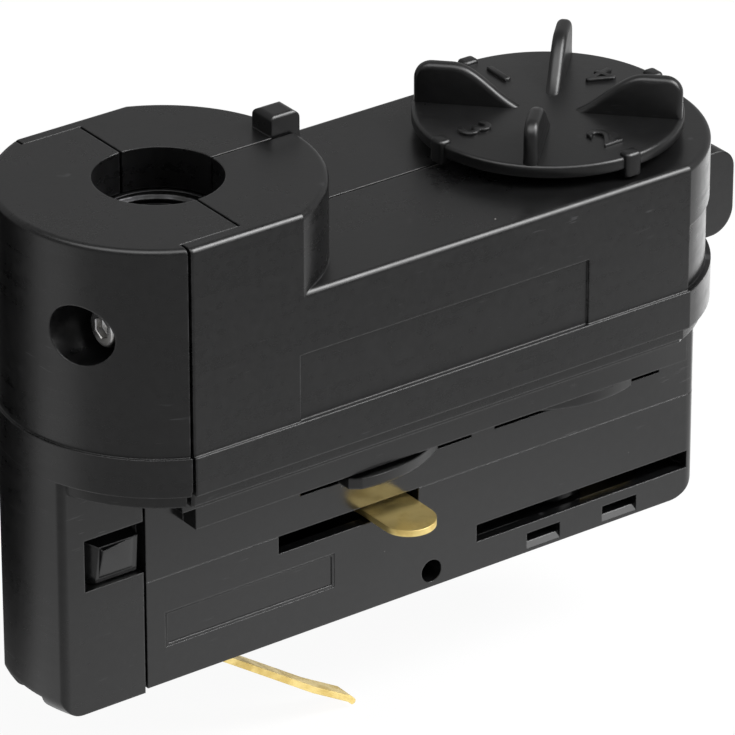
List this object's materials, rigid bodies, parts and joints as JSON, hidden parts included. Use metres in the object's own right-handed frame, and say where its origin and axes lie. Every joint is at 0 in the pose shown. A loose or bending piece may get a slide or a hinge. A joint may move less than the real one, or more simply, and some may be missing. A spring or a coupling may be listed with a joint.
{
  "type": "track light adapter",
  "caption": "Oblong track adapter with a stem boss, finned phase dial, locking lever, folding brass contact tongue and sprung earth leaf.",
  "frame": {"origin": "stem bore axis at the top face of the boss", "axes": "+Z out of the stem bore, +X from the stem bore to the dial end, +Y to the rear side"},
  "size_m": [0.0878, 0.031, 0.0684],
  "materials": {
    "housing_plastic": "fine moulded texture, semi-matt black",
    "insert_plastic": "smooth moulded black",
    "dial_plastic": "semi-matt black",
    "natural_plastic": "unpigmented moulding",
    "brass": "rolled strip",
    "plated_steel": "zinc plated",
    "dark_steel": "blackened"
  },
  "bodies": {
    "housing": {"front_shell": "housing_plastic", "rear_shell": "housing_plastic", "end_cap": "housing_plastic", "cap_screw_front": "plated_steel", "cap_screw_rear": "plated_steel", "stem_nut": "dark_steel", "insert_core": "insert_plastic", "insert_cover": "insert_plastic", "earth_strip": "brass", "earth_rivet": "plated_steel", "phase_terminal": "brass", "neutral_terminal": "brass", "earth_terminal": "brass", "phase_screw": "plated_steel", "neutral_screw": "plated_steel", "earth_screw": "plated_steel"},
    "selector": {"selector_dial": "dial_plastic", "dial_shaft": "plated_steel", "phase_rotor": "insert_plastic", "phase_blade": "brass", "rotor_collar": "insert_plastic"},
    "lever": {"locking_lever": "dial_plastic", "lever_cam": "dial_plastic"},
    "slider": {"link_slider": "natural_plastic"},
    "neutral": {"neutral_spindle": "insert_plastic", "neutral_cam": "dial_plastic", "neutral_tongue": "brass", "neutral_collar": "insert_plastic"},
    "earth": {"earth_leaf": "brass"}
  },
  "joints": [
    {"name": "lever_turn", "type": "hinge", "parent": "housing", "child": "lever", "pos_m": [0.0475, 0, -0.025], "axis": [0, 0, 1], "range_deg": [0, 90]},
    {"name": "link_slide", "type": "slide", "parent": "housing", "child": "slider", "axis": [1, 0, 0], "range_m": [-0.0099, 0]},
    {"name": "neutral_turn", "type": "hinge", "parent": "housing", "child": "neutral", "pos_m": [0.0233, 0, -0.035], "axis": [0, 0, 1], "range_deg": [-90, 0]},
    {"name": "dial_turn", "type": "hinge", "parent": "housing", "child": "selector", "pos_m": [0.0475, 0, -0.006], "axis": [0, 0, 1], "range_deg": [0, 270]},
    {"name": "earth_flex", "type": "hinge", "parent": "housing", "child": "earth", "pos_m": [0.0013, 0, -0.05205], "axis": [0, -1, 0], "range_deg": [0, 28], "stiffness_Nm_per_rad": 0.01}
  ],
  "couplings": [
    {"joint": "link_slide", "follows": "lever_turn", "m_per_rad": -0.0063},
    {"joint": "neutral_turn", "follows": "lever_turn", "ratio": -1}
  ]
}
